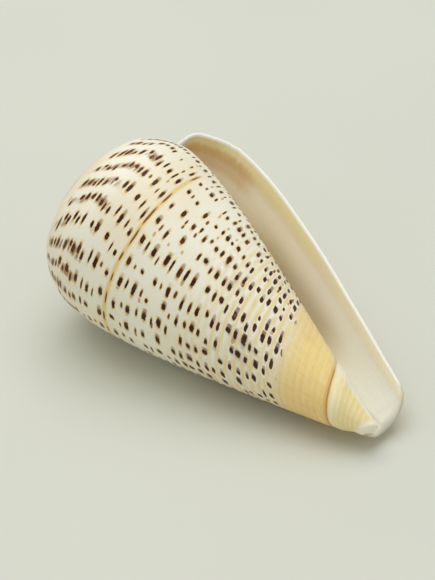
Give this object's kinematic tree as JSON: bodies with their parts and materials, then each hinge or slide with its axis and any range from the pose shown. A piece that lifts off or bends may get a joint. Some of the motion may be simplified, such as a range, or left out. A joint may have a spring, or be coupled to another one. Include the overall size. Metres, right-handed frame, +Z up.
{
  "type": "cone shell",
  "caption": "Cone-shaped sea shell lying on its side: low coiled spire, wide rounded shoulder, long narrow aperture along one side, spotted cream and yellow.",
  "frame": {"origin": "on the surface that the shell lies on, under the middle of its bounding box", "axes": "+X along the shell from the spire to the narrow anterior tip, +Y towards the outer lip, +Z up"},
  "size_m": [0.126, 0.083, 0.0668],
  "materials": {
    "shell": "glossy"
  },
  "bodies": {
    "root": {"cone_shell": "shell"}
  },
  "joints": []
}
